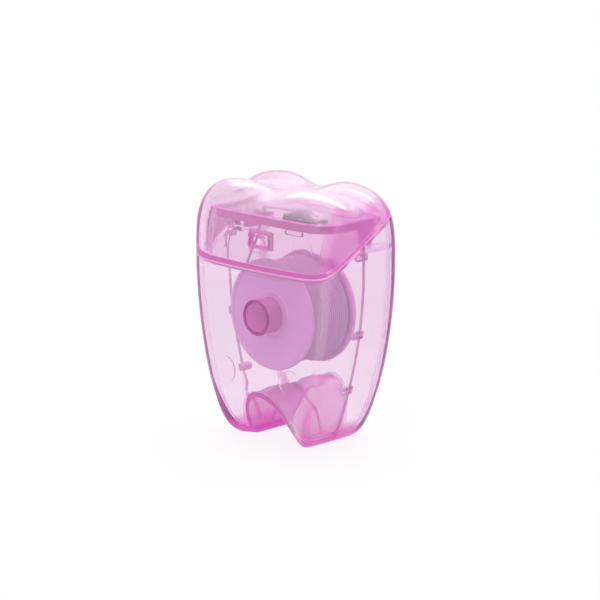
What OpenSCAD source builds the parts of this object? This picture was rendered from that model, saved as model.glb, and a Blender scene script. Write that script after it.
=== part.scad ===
// Pocket floss dispenser in the shape of a molar.
// A clear tinted case of two halves holds a bobbin of floss on a hub post.
// The crown is a lid that swings on a hinge at the top of the rear face.
// Under it a deck carries the floss outlet and the steel cutter.
// Frame: +Z up, front face toward -Y, origin on the ground under the middle of the case.

/* [Case] */
// Overall height, from the root tips to the cusps
body_h = 48.7; // [47:0.1:56]
// Width across the shoulders
body_w = 35.6; // [34:0.2:42]
// Depth from the front face to the rear face
body_d = 22; // [21:0.2:28]
// Height of the crown over the shoulders, where the case is widest
crown_h = 14.7; // [13.7:0.1:16.7]
// Width across the outer sides of the two root tips
tip_w = 20.2; // [18:0.2:24]
// Depth of a root tip
tip_d = 14.8; // [11:0.2:16]
// Height over which the faces draw in toward the root tips
tip_rise = 5.8; // [4:0.2:9]
// Radius that rounds the outer side of a root tip
tip_round = 2; // [0.8:0.1:3]
// Wall of the two case halves
wall = 1.2; // [0.9:0.1:1.6]
// How square the corners of a cross-section are
corner_n = 8; // [4:0.5:9]
// How square the corners are at the root tips
tip_n = 6.2; // [4:0.2:9]
// Part of the depth by which the middle of a face bulges past its corners
face_bulge = 0.04; // [0:0.01:0.12]

/* [Roots] */
// Width of the arch between the roots at the ground
arch_w = 10.8; // [8:0.2:13]
// Height of the arch
arch_h = 8.9; // [6:0.1:10.5]
// Part of the depth by which the faces sink in between the roots
furrow = 0.64; // [0.3:0.02:0.7]
// Height at which the furrow between the roots fades out
furrow_top = 11.3; // [9:0.1:13]

/* [Crown lid] */
// How far the joint line lies below the cusps, at the middle of the depth
seam_drop = 9.6; // [8.7:0.1:11.2]
// Rise of the joint line toward the rear, per millimetre of depth
seam_slope = 0.54; // [0.4:0.02:0.56]
// Gap along the joint line when the lid is shut
seam_gap = 0.3; // [0.2:0.05:0.5]
// Wall of the lid
lid_wall = 1.2; // [0.9:0.1:1.5]
// Clearance between the lid and the neck that it closes over
lid_gap = 0.5; // [0.4:0.05:0.7]
// Depth of the grooves between the four cusps
groove_d = 2.9; // [1.5:0.1:3.2]
// Width of these grooves
groove_w = 10; // [6:0.5:12]
// Roundness of the crown from side to side
dome_x = 4.3; // [2.6:0.1:5]
// Roundness of the crown from front to rear
dome_y = 3.4; // [2.8:0.1:6]

/* [Neck and latch] */
// How far the top of the neck lies below the cusps
neck_drop = 5.7; // [5.1:0.1:6.1]
// Wall of the neck
neck_wall = 1; // [0.8:0.1:1.2]
// Thickness of the ledge that the lid shuts on
rim_t = 1.2; // [0.8:0.1:1.6]
// Width of the latch window in the neck
latch_w = 4.9; // [4.8:0.1:8]
// Height of the latch window
latch_h = 2.4; // [1.6:0.1:3]
// How far the middle of the latch window lies below the middle of the joint line
latch_drop = 0.4; // [-0.5:0.1:0.9]
// Width of the raised rim around the latch window, inside the neck
latch_rim = 0.5; // [0.3:0.1:0.8]
// How far this rim stands off the neck
latch_rim_t = 0.5; // [0.3:0.1:0.7]
// Width of the catch on the inside of the lid
catch_w = 4.3; // [3:0.1:6]
// Height of the catch
catch_h = 1.4; // [0.8:0.1:2]
// How far the catch stands off the lid
catch_t = 0.35; // [0.2:0.05:0.38]

/* [Hinge] */
// Distance of the hinge axis in front of the rearmost part of the case
hinge_in = 0.6; // [0.4:0.1:0.8]
// Outer radius of the knuckles
knuckle_r = 1.2; // [1.1:0.1:1.5]
// Length of the middle knuckle, on the lid
knuckle_w = 8; // [5:0.5:12]
// Length of each outer knuckle, on the case
ear_w = 3; // [2:0.5:4]
// Running gap beside and around the knuckles
hinge_gap = 0.3; // [0.25:0.05:0.4]
// Radius of the stub pins on the middle knuckle
pin_r = 0.6; // [0.4:0.05:0.7]
// Length of each stub pin past its knuckle
pin_l = 2.6; // [1.6:0.2:3.2]
// Radial clearance of the stub pins
pin_clear = 0.06; // [0.03:0.01:0.1]

/* [Hub] */
// Height of the spool axis
hub_z = 24.2; // [23.6:0.2:25.2]
// Outer radius of the hub sleeve and of the shoulder of the post
hub_r = 3.4; // [3.4:0.1:3.7]
// Radius of the post that the bobbin turns on
post_r = 2.6; // [2.2:0.1:2.6]
// Wall of the hollow post
post_wall = 0.8; // [0.6:0.1:1]
// Radial clearance of the post in the hub sleeve
post_clear = 0.06; // [0.03:0.01:0.1]
// How far the post reaches into the hub sleeve
post_grip = 2.6; // [1.5:0.1:3.2]

/* [Bobbin] */
// Distance of the front flange behind the middle of the case, toward the front
bobbin_front = 6; // [5.6:0.1:6.4]
// Overall length of the bobbin
bobbin_l = 11; // [9.5:0.5:11.5]
// Radius of the flanges
flange_r = 10.6; // [10.4:0.1:11.2]
// Thickness of the flanges
flange_t = 0.8; // [0.6:0.1:1]
// Radius of the barrel that the floss is wound on
barrel_r = 4; // [3.4:0.1:4.8]
// Radial clearance of the bobbin on its post
bore_clear = 0.08; // [0.04:0.01:0.1]
// End play of the bobbin at each side
end_play = 0.3; // [0.2:0.05:0.4]

/* [Floss] */
// Radius of the floss package under its outer turns
package_r = 9.3; // [7:0.1:9.4]
// Diameter of the waxed floss
floss_d = 0.5; // [0.4:0.05:0.6]
// Number of turns in the outer layer
turns = 9; // [4:1:9]
// Clearance between the package and its flanges
package_gap = 0.05; // [0.02:0.01:0.2]

/* [Deck and cutter] */
// Thickness of the deck
deck_t = 1.2; // [0.8:0.1:1.4]
// How far the deck lies below the top of the neck
deck_drop = 0.4; // [0.2:0.1:0.8]
// Clearance around the deck
deck_fit = 0.1; // [0.05:0.05:0.2]
// Length of the deck's feet, which stand on shelves in the rear half
foot_l = 3.5; // [3.5:0.1:4.4]
// Thickness of these shelves
shelf_t = 0.8; // [0.6:0.1:1.2]
// Distance of the floss outlet behind the front face
outlet_back = 7; // [6.4:0.1:7.6]
// Bore of the floss outlet
outlet_bore = 1.2; // [1:0.1:1.6]
// Outer diameter of the outlet collar
outlet_od = 3.6; // [3:0.1:4.2]
// Height of the outlet collar over the deck
outlet_h = 0.8; // [0.5:0.1:1.2]
// Distance of the middle of the cutter behind the front face
cutter_back = 7.4; // [7:0.1:8]
// Length of the cutter
cutter_l = 7; // [6:0.2:8]
// Width of the cutter
cutter_w = 4; // [3.4:0.2:4.6]
// Sheet thickness of the cutter
cutter_t = 0.3; // [0.2:0.05:0.4]
// Depth of the cutter's prongs below the top of the deck
prong_l = 1.8; // [1:0.1:2.4]
// Clearance of the prongs in their slots
prong_fit = 0.05; // [0.03:0.01:0.1]
// Number of teeth on the cutter
teeth = 5; // [3:1:7]

/* [Hidden] */
$fn = 48;

case_tint = [0.87, 0.45, 0.80, 0.45];
lid_tint = [0.90, 0.55, 0.84, 0.45];
white = [0.95, 0.93, 0.95];
steel = [0.70, 0.71, 0.73];

tilt = atan(seam_slope);
far = 60;
shoulder_z = body_h - crown_h;
seam_z = body_h - seam_drop;
neck_z = body_h - neck_drop;
latch_z = seam_z - latch_drop;
deck_z = neck_z - deck_drop;
shelf_z = deck_z - deck_t - foot_l;

// Points on an eighth of a cross-section, closer together toward the corner
eighth = 6;
quarter = [for (i = [0 : eighth - 1]) corner_step(i / eighth),
           45,
           for (i = [eighth - 1 : -1 : 1]) 90 - corner_step(i / eighth)];
angles = [for (q = [0 : 3], a = quarter) q * 90 + a];
sides = len(angles);
function corner_step(s) = 45 * (1 - pow(1 - s, 1.5));

// Heights of the rings of the body and scales of the rings of the crown
body_rings = concat([0, 0.4, 1, 2, 3.4, 5.2, 7.4, 10, 14, 20, 26.5] * shoulder_z / 33, [shoulder_z]);
crown_rings = [0.985, 0.94, 0.88, 0.8, 0.7, 0.58, 0.43, 0.26];
ring_count = len(body_rings) + len(crown_rings);
upper = 9;
lower = len(body_rings) + 5;

// Half width and half depth of the case below the shoulders
function edge_round(z) = z < tip_round ? 1 - sqrt(1 - pow(1 - z / tip_round, 2)) : 0;
function half_w(z) = tip_w / 2
    + (body_w - tip_w) / 2 * sin(90 * pow(min(z, shoulder_z) / shoulder_z, 0.91))
    - 0.8 * tip_round * edge_round(z);
function half_d(z) = tip_d / 2
    + (body_d - tip_d) / 2 * (z < tip_rise ? sqrt(1 - pow(1 - z / tip_rise, 2)) : 1);
function squareness(z) = tip_n + (corner_n - tip_n) * min(1, z / 14);
function sink(z) = z < furrow_top ? furrow * pow(1 - z / furrow_top, 1.15) : 0;

// Unit cross-section: a rounded rectangle with bulged faces and a furrow
function unit_r(a, n) = pow(pow(abs(cos(a)), n) + pow(abs(sin(a)), n), -1 / n);
function unit_point(a, n, s) = let (r = unit_r(a, n), x = r * cos(a), y = r * sin(a))
    [x, y * (1 - face_bulge * x * x) * (1 - s * (1 - x * x))];

// Crown: the height falls off with a rounded profile, and grooves part the cusps
function crown_t(r) = pow(1 - pow(r, dome_x), 1 / dome_x);
function crown_ry(t) = pow(1 - pow(t, dome_y), 1 / dome_y);
function cross_groove(x, y) = 1 - (1 - exp(-pow(2 * x / groove_w, 2)))
    * (1 - exp(-pow(2.4 * y / groove_w, 2)));
function crown_raw(t, x, y) = t - groove_d / (body_h - shoulder_z) * pow(t, 4) * cross_groove(x, y);
function crown_ring(r, inset) = let (t = crown_t(r), n = corner_n - (corner_n - 2.2) * pow(t, 3))
    [for (a = angles) let (u = unit_point(a, n, 0),
                           x = u[0] * (body_w / 2 - inset) * r,
                           y = u[1] * (body_d / 2 - inset) * crown_ry(t))
        [x, y, crown_raw(t, x, y)]];
crown_peak = max([for (r = crown_rings) max([for (p = crown_ring(r, 0)) p[2]])]);
function crown_z(h, inset) = shoulder_z + (body_h - inset - shoulder_z) * h / crown_peak;

// Rings of the tooth form, drawn in by an inset; the ends close it
function body_ring(z, inset) = let (lift = inset * max(0, 1 - z / 8))
    [for (a = angles) let (u = unit_point(a, squareness(z), sink(z)))
        [u[0] * (half_w(z) - inset), u[1] * (half_d(z) - inset), z + lift]];
function tooth_rings(inset) = concat(
    [for (z = body_rings) body_ring(z, inset)],
    [for (r = crown_rings) [for (p = crown_ring(r, inset)) [p[0], p[1], crown_z(p[2], inset)]]]);
function ring_sides(rings) = [for (j = [0 : rings - 2], i = [0 : sides - 1])
    let (a = j * sides + i, b = j * sides + (i + 1) % sides)
    each [[a, a + sides, b + sides], [a, b + sides, b]]];

// Places on the deck, and the route of the floss as chosen by hand
outlet = [-3.5, outlet_back - body_d / 2, deck_z];
cutter_x = 6.5;
cutter_y = cutter_back - body_d / 2;
route_start = [-9.7, -4, hub_z + 4];
rise = [-0.8, 0, -2.6];
route_rise = [for (i = [0 : 5]) route_start + (outlet + rise - route_start) * i / 6];
route_top = [for (p = [rise, [-0.2, 0, -1.4], [0, 0, -0.4], [0, 0, 0.6], [0.3, 0, 1.3],
                       [1.1, 0, 1.7], [2.5, 0, 1.8], [4.1, 0.1, 1.7], [5.7, 0.2, 1.6],
                       [7.3, 0.3, 1.6], [8.7, 0.4, 1.7], [10.1, 0.4, 1.9], [11.3, 0.3, 1.8],
                       [12.5, 0.1, 1.5], [13.7, -0.3, 1.2]]) outlet + p];
route = concat(route_rise, route_top);

// Derived places
neck_in = lid_wall + lid_gap;
mouth_in = neck_in + neck_wall;
hinge_y = body_d / 2 - hinge_in;
hinge_z = seam_z + seam_slope * hinge_y;
bobbin_y0 = -bobbin_front;
bobbin_y1 = bobbin_y0 + bobbin_l;
sleeve_y = bobbin_y0 - end_play;
shoulder_y = bobbin_y1 + end_play;
wound_y0 = bobbin_y0 + flange_t + package_gap;
wound_y1 = bobbin_y1 - flange_t - package_gap;
pegs_z = [10.9, 21.8, seam_z - 2.5];
peg_r = 0.45;
peg_fit = 0.05;
boss_r = 0.75;
boss_l = 1.4;
pad_r = 2.5;
pad_t = 0.35;
pad_x = [8.3, 10.6];
pad_z = [13, latch_z - 0.5];

// The tooth as one solid, drawn in by an inset, from one ring to another
module tooth(inset, from = 0, to = ring_count) {
    all = tooth_rings(inset);
    rings = [for (i = [from : to - 1]) all[i]];
    last = len(rings) * sides;
    top = [0, 0, crown_z(crown_raw(1, 0, 0), inset)];
    floor = [0, 0, rings[0][0][2]];
    base = [for (i = [0 : sides - 1]) [i, (i + 1) % sides, last + 1]];
    cap = [for (i = [0 : sides - 1]) [last - sides + i, last, last - sides + (i + 1) % sides]];
    polyhedron(points = concat([for (r = rings) each r], [top, floor]),
               faces = concat(base, ring_sides(len(rings)), cap), convexity = 6);
}

// Everything under the joint line, lowered by a drop, and everything over it
module below_seam(drop) {
    translate([0, 0, seam_z - drop]) rotate([tilt, 0, 0])
        translate([-far, -far, -2 * far]) cube([2 * far, 2 * far, 2 * far]);
}

module above_seam(rise) {
    translate([0, 0, seam_z + rise]) rotate([tilt, 0, 0])
        translate([-far, -far, 0]) cube([2 * far, 2 * far, 2 * far]);
}

module front_side() {
    translate([-far, -far, -far]) cube([2 * far, far, 3 * far]);
}

module rear_side() {
    translate([-far, 0, -far]) cube([2 * far, far, 3 * far]);
}

module slab(z0, z1) {
    translate([-far, -far, z0]) cube([2 * far, 2 * far, z1 - z0]);
}

// The arch between the roots, right through from front to rear
module arch(grow) {
    w = arch_w / 2 + grow;
    h = arch_h + grow;
    rotate([90, 0, 0]) linear_extrude(height = 2 * far, center = true)
        polygon(concat([[-w, -1], [w, -1]], [for (a = [0 : 9 : 180]) [w * cos(a), h * sin(a)]]));
}

// A round bar along Y from y0 to y1 at a place on the X-Z plane
module bar_y(x, z, y0, y1, r) {
    translate([x, y0, z]) rotate([-90, 0, 0]) cylinder(h = y1 - y0, r = r);
}

// A round bar along X from x0 to x1 on the hinge axis
module hinge_bar(x0, x1, r) {
    translate([x0, hinge_y, hinge_z]) rotate([0, 90, 0]) cylinder(h = x1 - x0, r = r);
}

// The case without its fittings: walls, ledge and neck, open at the top
module case_walls() {
    difference() {
        union() {
            intersection() {
                tooth(0, 0, lower);
                below_seam(0);
            }
            intersection() {
                tooth(neck_in, upper);
                slab(shoulder_z - 6, neck_z);
            }
        }
        difference() {
            intersection() {
                tooth(wall, 0, lower);
                below_seam(rim_t);
            }
            arch(wall);
        }
        intersection() {
            tooth(mouth_in, upper);
            above_seam(-rim_t - 0.5);
        }
        arch(0);
    }
}

// Bosses beside the seam between the two halves
module seam_bosses(y0, y1) {
    for (s = [-1, 1], z = pegs_z)
        bar_y(s * (half_w(z) - wall / 2 - boss_r), z, y0, y1, boss_r);
}

module seam_pegs(y0, y1, r) {
    for (s = [-1, 1], z = pegs_z)
        bar_y(s * (half_w(z) - wall / 2 - boss_r), z, y0, y1, r);
}

// Front half: hub sleeve, latch window and seam pegs
module front_shell() {
    color(case_tint) {
        difference() {
            union() {
                intersection() {
                    case_walls();
                    front_side();
                }
                bar_y(0, hub_z, -half_d(hub_z) + wall / 2, sleeve_y, hub_r);
                seam_bosses(-boss_l, 0);
                deck_ledges();
                ejector_pads();
                latch_frame();
            }
            bar_y(0, hub_z, -half_d(hub_z) + wall, sleeve_y + 1, post_r + post_clear);
            translate([-latch_w / 2, -body_d / 2 + lid_wall, latch_z - latch_h / 2])
                cube([latch_w, neck_wall + 2 * lid_gap + 2, latch_h]);
        }
        seam_pegs(-1, boss_l - 0.4, peg_r);
    }
}

// Small ledges on the neck that carry the front edge of the deck
module deck_ledges() {
    for (s = [-1, 1])
        translate([s * 8 - 2, -half_d(shoulder_z) + mouth_in - 0.5, deck_z - deck_t - 0.8])
            cube([4, 1.5, 0.8]);
}

// Raised rim around the latch window; the window is cut through it
module latch_frame() {
    w = latch_w + 2 * latch_rim;
    h = latch_h + 2 * latch_rim;
    translate([-w / 2, -half_d(latch_z) + mouth_in - 0.3, latch_z - h / 2])
        cube([w, latch_rim_t + 0.3, h]);
}

// Round marks that the mould's ejectors leave inside the front wall and inside the neck
module ejector_pads() {
    for (s = [-1, 1]) {
        bar_y(s * pad_x[0], pad_z[0], -body_d / 2 + wall / 2, -body_d / 2 + wall + pad_t, pad_r);
        bar_y(s * pad_x[1], pad_z[1], -body_d / 2 + neck_in + neck_wall / 2,
              -body_d / 2 + mouth_in + pad_t, pad_r);
    }
}

// Rear half: hub post, shelves for the deck and outer hinge knuckles
module rear_shell() {
    color(case_tint) {
        difference() {
            union() {
                intersection() {
                    case_walls();
                    rear_side();
                }
                seam_bosses(0, boss_l);
                shelves();
                bar_y(0, hub_z, shoulder_y, half_d(hub_z) - wall / 2, hub_r);
                for (s = [0, 1])
                    mirror([s, 0, 0]) ear();
            }
            seam_pegs(-1, boss_l - 0.2, peg_r + peg_fit);
            hinge_bar(-knuckle_w / 2 - hinge_gap, knuckle_w / 2 + hinge_gap, knuckle_r + hinge_gap);
            hinge_bar(-knuckle_w / 2 - pin_l - 0.2, knuckle_w / 2 + pin_l + 0.2, pin_r + pin_clear);
            bar_y(0, hub_z, 0, half_d(hub_z) - wall, post_r - post_wall);
        }
        difference() {
            bar_y(0, hub_z, sleeve_y - post_grip, shoulder_y + 1, post_r);
            bar_y(0, hub_z, sleeve_y - post_grip - 1, half_d(hub_z) - wall, post_r - post_wall);
        }
    }
}

// One outer knuckle and the web that joins it to the rear wall
module ear() {
    x0 = knuckle_w / 2 + hinge_gap;
    hinge_bar(x0, x0 + ear_w, knuckle_r);
    intersection() {
        translate([x0, hinge_y - knuckle_r - wall, deck_z + deck_fit])
            cube([ear_w, knuckle_r + wall, hinge_z - deck_z - deck_fit]);
        below_seam(0);
    }
}

// Shelves along the inside of the rear half
module shelves() {
    for (s = [-1, 1])
        translate([s * (half_w(shelf_z) - 0.7 * wall - 1.5) - 1.5, 0.9, shelf_z - shelf_t])
            cube([3, 7.7, shelf_t]);
}

// Lid: the hollow crown, its catch and its middle knuckle with stub pins
module crown_lid() {
    color(lid_tint) {
        difference() {
            union() {
                intersection() {
                    difference() {
                        tooth(0, upper);
                        tooth(lid_wall, upper);
                    }
                    above_seam(seam_gap);
                }
                intersection() {
                    translate([-knuckle_w / 2, hinge_y - knuckle_r - 1.4, hinge_z - 1])
                        cube([knuckle_w, knuckle_r + 1.4, knuckle_r + 1]);
                    above_seam(seam_gap);
                }
            }
            for (s = [0, 1])
                mirror([s, 0, 0]) hinge_bar(knuckle_w / 2, knuckle_w / 2 + ear_w + 2 * hinge_gap, knuckle_r + hinge_gap);
        }
        hinge_bar(-knuckle_w / 2, knuckle_w / 2, knuckle_r);
        hinge_bar(-knuckle_w / 2 - pin_l, knuckle_w / 2 + pin_l, pin_r);
        catch_bump();
    }
}

// Arched bump that shows in the latch window
module catch_bump() {
    translate([0, -body_d / 2 + lid_wall + catch_t, latch_z - catch_h / 2]) rotate([90, 0, 0])
        linear_extrude(height = catch_t + lid_wall / 2)
            intersection() {
                translate([0, catch_h - 2.6]) circle(r = 2.6);
                translate([-catch_w / 2, 0]) square([catch_w, catch_h]);
            }
}

// Deck: closes the neck, with the floss outlet, slots for the cutter and feet
module top_deck() {
    color(case_tint)
        difference() {
            union() {
                intersection() {
                    slab(deck_z - deck_t, deck_z);
                    union() {
                        tooth(mouth_in + deck_fit, upper);
                        intersection() {
                            tooth(wall + deck_fit, upper);
                            below_seam(rim_t + deck_fit);
                        }
                    }
                }
                translate(outlet - [0, 0, 0.1]) cylinder(h = outlet_h + 0.1, d = outlet_od);
                deck_feet();
            }
            translate(outlet - [0, 0, deck_t + 1]) cylinder(h = 5, d = outlet_bore);
            for (s = [-1, 1])
                translate([cutter_x + s * (cutter_l - cutter_t) / 2, cutter_y, deck_z])
                    cube([cutter_t + 2 * prong_fit, cutter_w + 2 * prong_fit, 3 * deck_t], center = true);
        }
}

// Feet at the rear of the deck, standing on the shelves
module deck_feet() {
    x = half_w(shelf_z) - mouth_in - deck_fit - 1.2;
    for (s = [-1, 1])
        translate([s * x - 0.5, 2, shelf_z]) cube([1, 3, deck_z - deck_t - shelf_z + 0.2]);
}

// Cutter: a folded strip with two prongs, a raised tongue and a toothed edge
module cutter() {
    w = cutter_w;
    pitch = w / teeth;
    color(steel)
        translate([cutter_x, cutter_y, deck_z]) {
            difference() {
                translate([-cutter_l / 2, -w / 2, 0]) cube([cutter_l, w, cutter_t]);
                translate([-cutter_l / 2 + 1.4, -w / 2 + 0.8, -1]) cube([cutter_l - 3.6, w - 1.6, 3]);
            }
            for (s = [-1, 1])
                translate([s * (cutter_l - cutter_t) / 2, 0, -prong_l / 2 + cutter_t / 2])
                    cube([cutter_t, w, prong_l + cutter_t], center = true);
            translate([cutter_l / 2 - 2.3, 0, 0]) rotate([0, 32, 0]) tongue();
            translate([-cutter_l / 2, 0, 0]) rotate([0, -90, 0])
                linear_extrude(height = cutter_t)
                    polygon(concat([[0, -w / 2]],
                                   [for (i = [0 : teeth - 1]) each [[0.3, -w / 2 + i * pitch],
                                                                    [1.2, -w / 2 + (i + 0.5) * pitch],
                                                                    [0.3, -w / 2 + (i + 1) * pitch]]],
                                   [[0, w / 2]]));
        }
}

// Tongue cut from the strip, under which the floss is drawn
module tongue() {
    translate([-3, 0, 0]) linear_extrude(height = cutter_t)
        polygon([[3, -cutter_w / 2 + 0.9], [3, cutter_w / 2 - 0.9], [0.8, cutter_w / 2 - 0.9],
                 [0, 0.5], [1.6, 0], [0, -0.5], [0.8, -cutter_w / 2 + 0.9]]);
}

// Bobbin with two flanges, turned on the hub post
module bobbin() {
    b = post_r + bore_clear;
    color(white)
        translate([0, bobbin_y0, hub_z]) rotate([-90, 0, 0]) rotate_extrude($fn = 96)
            polygon([[b, 0], [flange_r, 0], [flange_r, flange_t], [barrel_r, flange_t],
                     [barrel_r, bobbin_l - flange_t], [flange_r, bobbin_l - flange_t],
                     [flange_r, bobbin_l], [b, bobbin_l]]);
}

// Wound floss under the outer turns
module floss_package() {
    color(white)
        translate([0, wound_y0, hub_z]) rotate([-90, 0, 0]) rotate_extrude($fn = 96)
            translate([barrel_r, 0]) square([package_r - barrel_r, wound_y1 - wound_y0]);
}

// Outer layer of turns, one unbroken tube wound at an even pitch
turn_steps = 24;
tube_r = floss_d / 2 / cos(30);
turn_r = (package_r + tube_r + 0.02) / cos(180 / turn_steps);
turn_pitch = (wound_y1 - wound_y0 - floss_d - 0.2) / turns;
function turn_point(i) = let (a = 156 - 360 * i / turn_steps)
    [turn_r * cos(a), wound_y0 + floss_d / 2 + 0.1 + turn_pitch * i / turn_steps, hub_z + turn_r * sin(a)];
turn_path = [for (i = [0 : turns * turn_steps]) turn_point(i)];
least_gap = min([for (i = [0 : len(turn_path) - 1], j = [i + turn_steps - 2 : i + turn_steps + 2])
    if (j < len(turn_path)) norm(turn_path[i] - turn_path[j])]) - floss_d;
echo(least_gap_between_turns = least_gap);

module floss_outer_turns() {
    color(white) tube(turn_path, tube_r, 6);
}

// Free stretch of floss, held by the package, the outlet and the cutter
module floss_strand() {
    color(white) tube(route, floss_d / 2, 8);
}

// A round tube along a path of points; its rings stand square to the path
function heading(path, i) = let (a = path[max(0, i - 1)], b = path[min(len(path) - 1, i + 1)])
    (b - a) / norm(b - a);
module tube(path, r, n) {
    count = len(path);
    points = [for (i = [0 : count - 1])
        let (t = heading(path, i), v = cross(t, [0, 1, 0]), u = v / norm(v), w = cross(u, t))
        for (k = [0 : n - 1]) let (a = 360 * (k + 0.5) / n)
            path[i] + r * (cos(a) * u + sin(a) * w)];
    faces = concat([[for (k = [0 : n - 1]) k]],
                   [for (i = [0 : count - 2], k = [0 : n - 1])
                       let (a = i * n + k, b = i * n + (k + 1) % n)
                       each [[a, a + n, b + n], [a, b + n, b]]],
                   [[for (k = [n - 1 : -1 : 0]) (count - 1) * n + k]]);
    polyhedron(points = points, faces = faces, convexity = 10);
}

front_shell();
rear_shell();
crown_lid();
top_deck();
cutter();
bobbin();
floss_package();
floss_outer_turns();
floss_strand();
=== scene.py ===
# Pocket floss dispenser: the dressed model, its materials, light and camera.
# Shapes are worked out in millimetres and turned into metres when a piece is finished.
import math

import bmesh
import bpy
import numpy as np
from mathutils import Matrix, Vector


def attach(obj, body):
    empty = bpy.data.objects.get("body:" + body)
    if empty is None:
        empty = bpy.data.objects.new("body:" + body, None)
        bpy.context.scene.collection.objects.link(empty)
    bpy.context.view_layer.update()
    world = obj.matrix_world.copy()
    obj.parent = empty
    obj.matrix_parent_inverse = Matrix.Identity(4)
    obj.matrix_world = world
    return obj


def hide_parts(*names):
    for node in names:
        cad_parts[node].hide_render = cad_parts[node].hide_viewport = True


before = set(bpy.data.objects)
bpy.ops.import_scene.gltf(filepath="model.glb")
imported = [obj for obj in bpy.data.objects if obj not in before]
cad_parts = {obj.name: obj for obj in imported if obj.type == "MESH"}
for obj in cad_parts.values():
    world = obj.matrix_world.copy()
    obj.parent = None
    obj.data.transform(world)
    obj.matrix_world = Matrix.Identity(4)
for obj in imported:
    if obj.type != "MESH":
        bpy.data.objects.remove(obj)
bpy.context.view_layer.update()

# Sizes of the case, as in part.scad
BODY_H, BODY_W, BODY_D, SHOULDER = 48.7, 35.6, 22.0, 34.0
TIP_W, TIP_D, TIP_RISE, TIP_ROUND = 20.2, 14.8, 5.8, 2.0
WALL, CORNER_N, TIP_N, TOP_N, BULGE = 1.2, 8.0, 6.2, 2.2, 0.04
ARCH_W, ARCH_H, FURROW, FURROW_TOP = 10.8, 8.9, 0.64, 11.3
SIDE_CURVE, FURROW_CURVE = 0.91, 1.15
# Sizes of the lid and the neck
SEAM_Z, SLOPE, SEAM_GAP = 39.1, 0.54, 0.3
LID_WALL, LID_GAP, NECK_WALL, NECK_Z, RIM_T = 1.2, 0.5, 1.0, 43.0, 1.2
GROOVE_D, GROOVE_W, DOME_X, DOME_Y = 2.9, 10.0, 4.3, 3.4
LATCH_Z, LATCH_W, LATCH_H, LATCH_RIM, LATCH_RIM_T = 38.7, 4.9, 2.4, 0.5, 0.5
CATCH_W, CATCH_H, CATCH_T = 4.3, 1.4, 0.35
# Sizes of the hinge, the pegs between the halves and the ejector marks
HINGE_IN, KNUCKLE_R, KNUCKLE_W, EAR_W, HINGE_GAP = 0.6, 1.2, 8.0, 3.0, 0.3
PIN_R, PIN_L, PIN_CLEAR = 0.6, 2.6, 0.06
PEG_R, PEG_FIT, BOSS_R, BOSS_L = 0.45, 0.05, 0.75, 1.4
PAD_R, PAD_T, PADS_LOW, PADS_HIGH = 2.5, 0.35, (8.3, 13.0), (10.6, 38.2)
# Sizes of the hub, the bobbin and the floss
HUB_Z, HUB_R, POST_R, POST_WALL, POST_CLEAR, POST_GRIP = 24.2, 3.4, 2.6, 0.8, 0.06, 2.6
BOBBIN_Y0, BOBBIN_L, FLANGE_R, FLANGE_T, BARREL_R = -6.0, 11.0, 10.6, 0.8, 4.0
BORE_CLEAR, END_PLAY, PACKAGE_R, PACKAGE_GAP, FLOSS_D = 0.08, 0.3, 9.3, 0.05, 0.5
# Sizes of the deck and what stands on it
DECK_DROP, DECK_T, DECK_FIT, FOOT_L, SHELF_T = 0.4, 1.2, 0.1, 3.5, 0.8
OUTLET_X, OUTLET_Y, OUTLET_R, OUTLET_BORE_R, OUTLET_H = -3.5, -4.0, 1.8, 0.6, 0.8
CUTTER_X, CUTTER_Y, CUTTER_L, CUTTER_W, CUTTER_T, PRONG_FIT = 6.5, -3.6, 7.0, 4.0, 0.3, 0.05
LEDGE_X, LEDGE_W, LEDGE_D, LEDGE_T = 8.0, 4.0, 1.5, 0.8

# Places that follow from the sizes
FRONT, REAR = -BODY_D / 2, BODY_D / 2
NECK_IN = LID_WALL + LID_GAP
MOUTH_IN = NECK_IN + NECK_WALL
HINGE_Y = REAR - HINGE_IN
HINGE_Z = SEAM_Z + SLOPE * HINGE_Y
DECK_Z = NECK_Z - DECK_DROP
SHELF_Z = DECK_Z - DECK_T - FOOT_L
BOBBIN_Y1 = BOBBIN_Y0 + BOBBIN_L
SLEEVE_Y, POST_Y = BOBBIN_Y0 - END_PLAY, BOBBIN_Y1 + END_PLAY
WOUND_Y0 = BOBBIN_Y0 + FLANGE_T + PACKAGE_GAP
WOUND_Y1 = BOBBIN_Y1 - FLANGE_T - PACKAGE_GAP
HUB = (0, 0, HUB_Z)
HINGE = (0, HINGE_Y, HINGE_Z)
TILT = math.atan(SLOPE)
# Half of the gap between the two case halves, and a length past everything
SEAM_HALF = 0.02
FAR = 60.0
# Height at which a form for the lid, the neck or the deck starts
UPPER = 26

# Angles round a cross-section, closer together toward its corners
SIDES_IN_EIGHTH = 16
STEP = 45 * (1 - (1 - np.arange(SIDES_IN_EIGHTH) / SIDES_IN_EIGHTH) ** 1.5)
QUARTER = np.concatenate([STEP, [45], 90 - STEP[:0:-1]])
ANGLES = np.radians(np.concatenate([QUARTER + 90 * q for q in range(4)]))


# Form of the tooth
def half_w(z):
    edge = 1 - math.sqrt(1 - (1 - z / TIP_ROUND) ** 2) if z < TIP_ROUND else 0
    rise = math.sin(math.pi / 2 * (min(z, SHOULDER) / SHOULDER) ** SIDE_CURVE)
    return TIP_W / 2 + (BODY_W - TIP_W) / 2 * rise - 0.8 * TIP_ROUND * edge


def half_d(z):
    rise = math.sqrt(1 - (1 - z / TIP_RISE) ** 2) if z < TIP_RISE else 1
    return TIP_D / 2 + (BODY_D - TIP_D) / 2 * rise


def unit_ring(squareness, sink):
    c, s = np.cos(ANGLES), np.sin(ANGLES)
    r = (np.abs(c) ** squareness + np.abs(s) ** squareness) ** (-1 / squareness)
    x, y = r * c, r * s
    return x, y * (1 - BULGE * x * x) * (1 - sink * (1 - x * x))


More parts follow.
